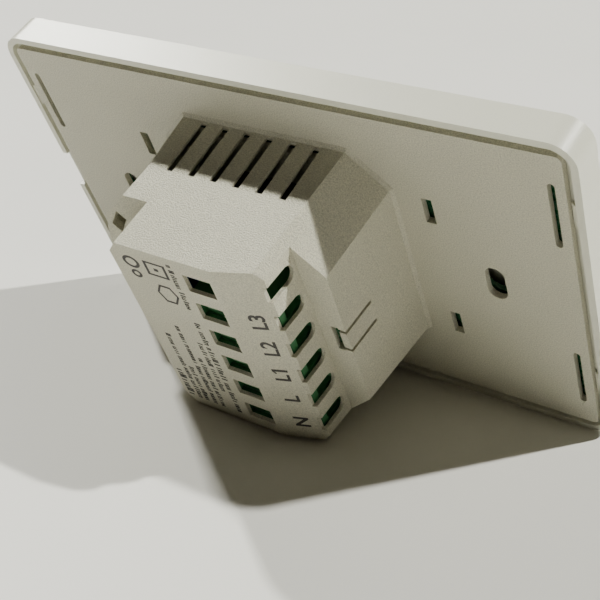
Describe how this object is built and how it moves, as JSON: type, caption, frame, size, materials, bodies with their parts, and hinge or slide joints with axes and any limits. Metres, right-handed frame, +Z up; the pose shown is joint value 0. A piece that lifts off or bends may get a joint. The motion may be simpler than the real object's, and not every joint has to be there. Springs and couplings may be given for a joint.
{
  "type": "smart light switch",
  "caption": "Push-key light switch for a wall box: clipped front panel with keys, and a deep rear housing with vents, a stepped terminal side and rising-clamp wire terminals",
  "frame": {"origin": "centre of the wall screws' pattern, on the plane that lies on the wall", "axes": "X along the long side with the wire ports at -X, +Y into the wall, +Z up with the blank terminal way at the top"},
  "size_m": [0.12, 0.0365, 0.072],
  "materials": {
    "panel_plastic": "satin white",
    "lens_plastic": "translucent window",
    "board": "solder resist over glass laminate",
    "screw_steel": "zinc plated",
    "black_plastic": "moulded",
    "led_body": "clear resin",
    "tin_can": "tinned sheet",
    "pin_brass": "plated",
    "housing_plastic": "fine spark-eroded texture",
    "ferrite": "dull",
    "winding_tape": "tape",
    "capacitor_sleeve": "shrink sleeve",
    "film_box": "moulded box",
    "fuse_body": "ceramic-like",
    "varistor_coat": "dipped coat",
    "block_green": "moulded",
    "cage_steel": "nickel plated"
  },
  "bodies": {
    "housing": {"rear_housing": "housing_plastic", "inner_cover": "housing_plastic", "cover_screws": "screw_steel", "power_board": "board", "header_socket": "black_plastic", "relay_line_1": "black_plastic", "relay_line_2": "black_plastic", "relay_line_3": "black_plastic", "transformer_core": "ferrite", "transformer_winding": "winding_tape", "input_capacitor": "capacitor_sleeve", "output_capacitor": "capacitor_sleeve", "film_capacitor": "film_box", "rectifier": "black_plastic", "choke": "ferrite", "fuse": "fuse_body", "varistor": "varistor_coat", "terminal_block": "block_green", "contact_bars": "pin_brass"},
    "front_panel": {"front_frame": "panel_plastic", "control_board": "board", "board_screws": "screw_steel", "tact_switch_bodies": "black_plastic", "indicator_leds": "led_body", "radio_board": "board", "radio_shield": "tin_can", "header_pins": "pin_brass"},
    "key_left_body": {"key_left": "panel_plastic", "lens_left": "lens_plastic"},
    "plunger_left_body": {"plunger_left": "black_plastic"},
    "key_middle_body": {"key_middle": "panel_plastic", "lens_middle": "lens_plastic"},
    "plunger_middle_body": {"plunger_middle": "black_plastic"},
    "key_right_body": {"key_right": "panel_plastic", "lens_right": "lens_plastic"},
    "plunger_right_body": {"plunger_right": "black_plastic"},
    "screw_1": {"terminal_screw_1": "screw_steel"},
    "cage_1": {"clamp_cage_1": "cage_steel"},
    "screw_2": {"terminal_screw_2": "screw_steel"},
    "cage_2": {"clamp_cage_2": "cage_steel"},
    "screw_3": {"terminal_screw_3": "screw_steel"},
    "cage_3": {"clamp_cage_3": "cage_steel"},
    "screw_4": {"terminal_screw_4": "screw_steel"},
    "cage_4": {"clamp_cage_4": "cage_steel"},
    "screw_5": {"terminal_screw_5": "screw_steel"},
    "cage_5": {"clamp_cage_5": "cage_steel"}
  },
  "joints": [
    {"name": "panel_pull", "type": "slide", "parent": "housing", "child": "front_panel", "axis": [0, -1, 0], "range_m": [0, 0.012]},
    {"name": "key_left_press", "type": "slide", "parent": "front_panel", "child": "key_left_body", "axis": [0, 1, 0], "range_m": [0, 0.0003], "stiffness_N_per_m": 3000},
    {"name": "plunger_left_press", "type": "slide", "parent": "front_panel", "child": "plunger_left_body", "axis": [0, 1, 0], "range_m": [0, 0.0003]},
    {"name": "key_middle_press", "type": "slide", "parent": "front_panel", "child": "key_middle_body", "axis": [0, 1, 0], "range_m": [0, 0.0003], "stiffness_N_per_m": 3000},
    {"name": "plunger_middle_press", "type": "slide", "parent": "front_panel", "child": "plunger_middle_body", "axis": [0, 1, 0], "range_m": [0, 0.0003]},
    {"name": "key_right_press", "type": "slide", "parent": "front_panel", "child": "key_right_body", "axis": [0, 1, 0], "range_m": [0, 0.0003], "stiffness_N_per_m": 3000},
    {"name": "plunger_right_press", "type": "slide", "parent": "front_panel", "child": "plunger_right_body", "axis": [0, 1, 0], "range_m": [0, 0.0003]},
    {"name": "screw_1_turn", "type": "hinge", "parent": "housing", "child": "screw_1", "pos_m": [-0.0046, 0.0265, 0.01071], "axis": [0, -1, 0], "range_deg": [0, 1030]},
    {"name": "cage_1_lift", "type": "slide", "parent": "housing", "child": "cage_1", "axis": [0, 1, 0], "range_m": [0, 0.00143]},
    {"name": "screw_2_turn", "type": "hinge", "parent": "housing", "child": "screw_2", "pos_m": [-0.0046, 0.0265, 0.00357], "axis": [0, -1, 0], "range_deg": [0, 1030]},
    {"name": "cage_2_lift", "type": "slide", "parent": "housing", "child": "cage_2", "axis": [0, 1, 0], "range_m": [0, 0.00143]},
    {"name": "screw_3_turn", "type": "hinge", "parent": "housing", "child": "screw_3", "pos_m": [-0.0046, 0.0265, -0.00357], "axis": [0, -1, 0], "range_deg": [0, 1030]},
    {"name": "cage_3_lift", "type": "slide", "parent": "housing", "child": "cage_3", "axis": [0, 1, 0], "range_m": [0, 0.00143]},
    {"name": "screw_4_turn", "type": "hinge", "parent": "housing", "child": "screw_4", "pos_m": [-0.0046, 0.0265, -0.01071], "axis": [0, -1, 0], "range_deg": [0, 1030]},
    {"name": "cage_4_lift", "type": "slide", "parent": "housing", "child": "cage_4", "axis": [0, 1, 0], "range_m": [0, 0.00143]},
    {"name": "screw_5_turn", "type": "hinge", "parent": "housing", "child": "screw_5", "pos_m": [-0.0046, 0.0265, -0.01785], "axis": [0, -1, 0], "range_deg": [0, 1030]},
    {"name": "cage_5_lift", "type": "slide", "parent": "housing", "child": "cage_5", "axis": [0, 1, 0], "range_m": [0, 0.00143]}
  ],
  "couplings": [
    {"joint": "plunger_left_press", "follows": "key_left_press", "ratio": 1},
    {"joint": "plunger_middle_press", "follows": "key_middle_press", "ratio": 1},
    {"joint": "plunger_right_press", "follows": "key_right_press", "ratio": 1},
    {"joint": "screw_1_turn", "follows": "cage_1_lift", "rad_per_m": 12566},
    {"joint": "screw_2_turn", "follows": "cage_2_lift", "rad_per_m": 12566},
    {"joint": "screw_3_turn", "follows": "cage_3_lift", "rad_per_m": 12566},
    {"joint": "screw_4_turn", "follows": "cage_4_lift", "rad_per_m": 12566},
    {"joint": "screw_5_turn", "follows": "cage_5_lift", "rad_per_m": 12566}
  ]
}
